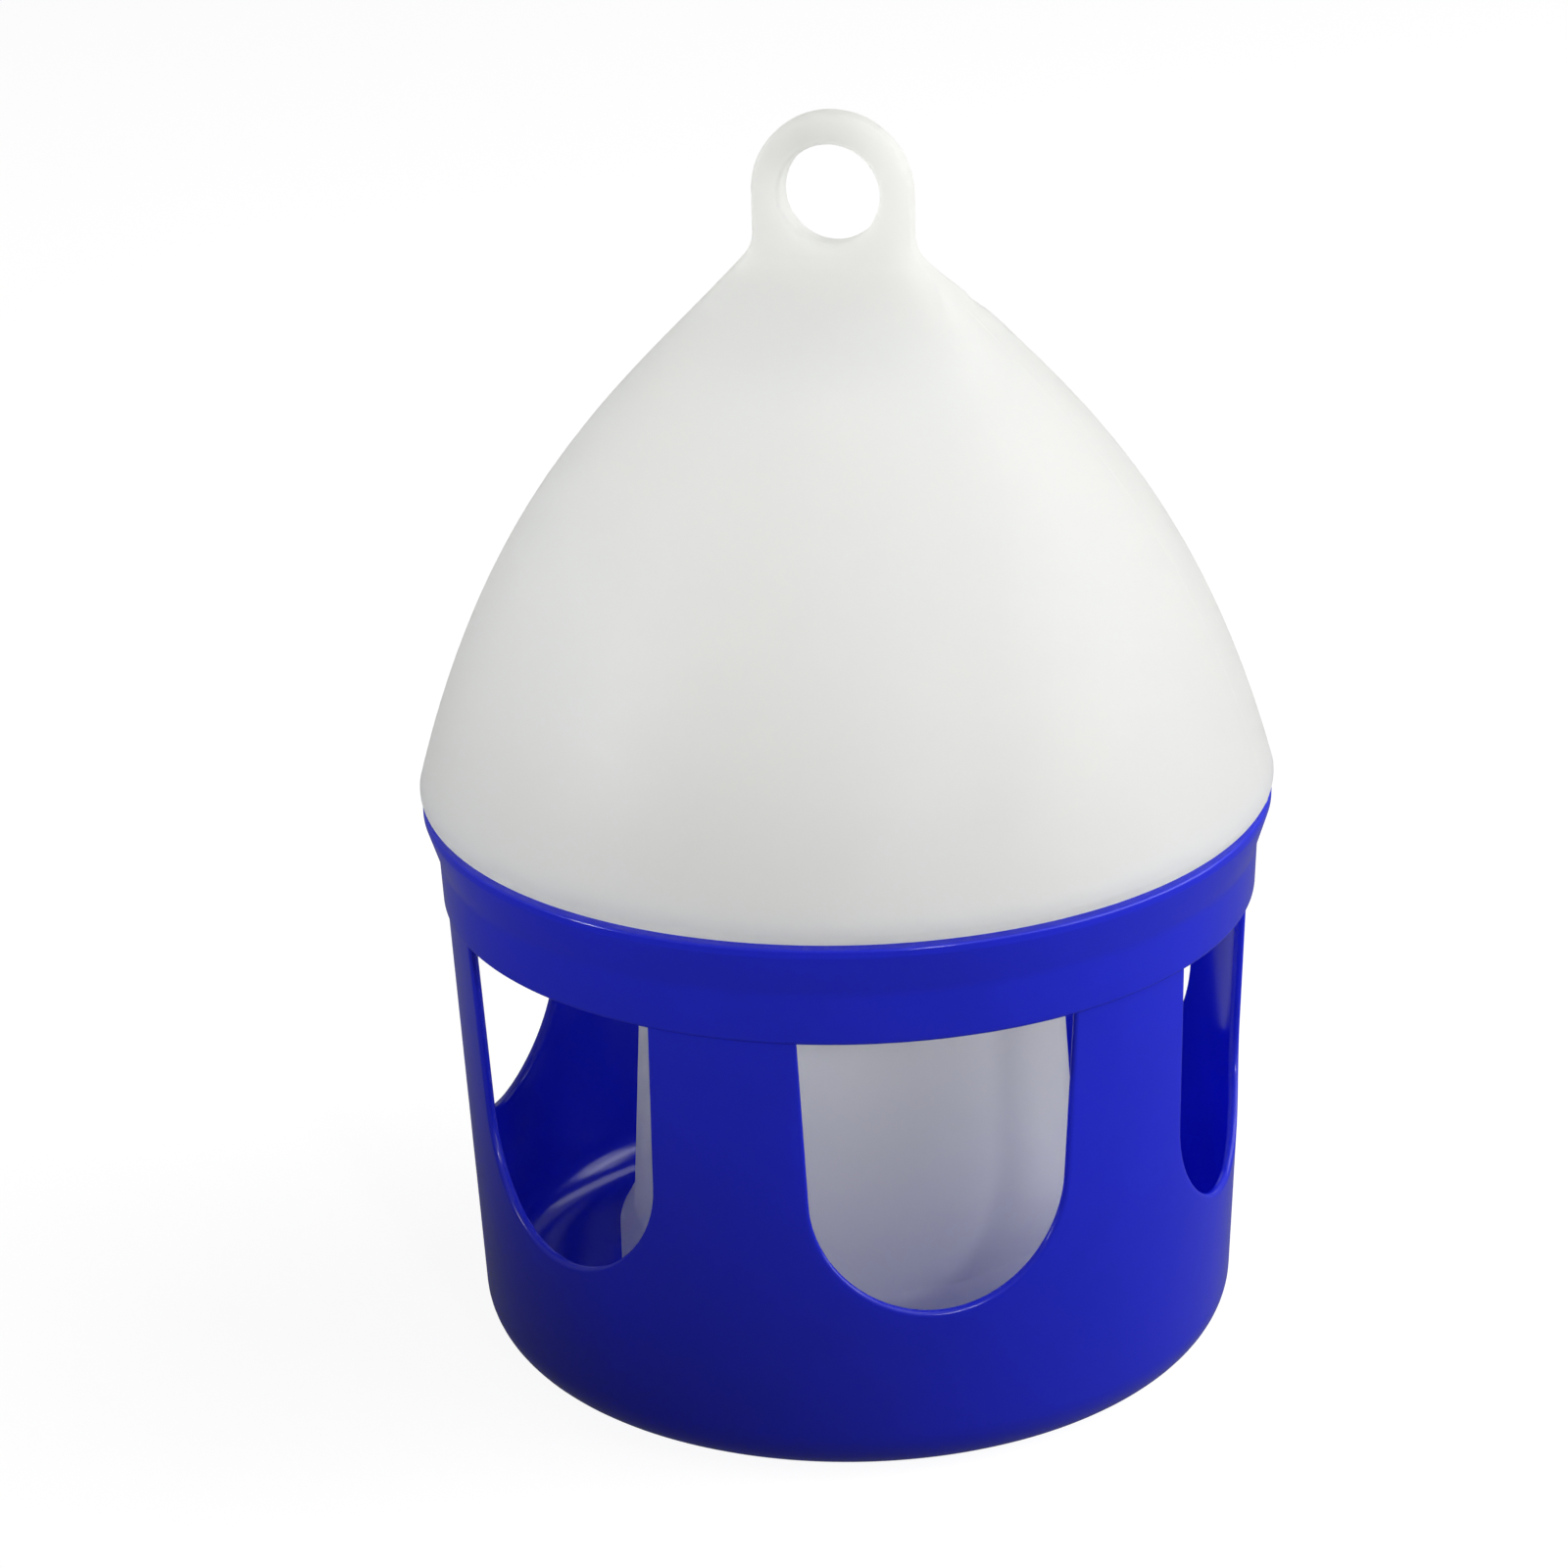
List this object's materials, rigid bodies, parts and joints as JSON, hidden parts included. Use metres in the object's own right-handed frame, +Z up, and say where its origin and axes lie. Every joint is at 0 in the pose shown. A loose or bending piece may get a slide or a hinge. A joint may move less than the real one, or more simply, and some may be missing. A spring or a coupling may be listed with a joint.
{
  "type": "pigeon waterer",
  "caption": "Gravity pigeon waterer: an upside-down pointed bottle with a carrying ring lifts out of a round drinking base that has arched windows and a flared collar.",
  "frame": {"origin": "middle of the drinking base's underside, on the surface that it stands on", "axes": "+Z up along the common axis of base and bottle, -Y through the middle of one window"},
  "size_m": [0.1848, 0.1848, 0.2741],
  "materials": {
    "blue_plastic": "glossy injection-moulded polypropylene, royal blue",
    "milky_plastic": "satin blow-moulded polyethylene, milky white and slightly translucent"
  },
  "bodies": {
    "base": {"drinking_base": "blue_plastic"},
    "bottle": {"reservoir_bottle": "milky_plastic"}
  },
  "joints": [
    {"name": "bottle_lift", "type": "slide", "parent": "base", "child": "bottle", "axis": [0, 0, 1], "range_m": [0, 0.13]}
  ]
}
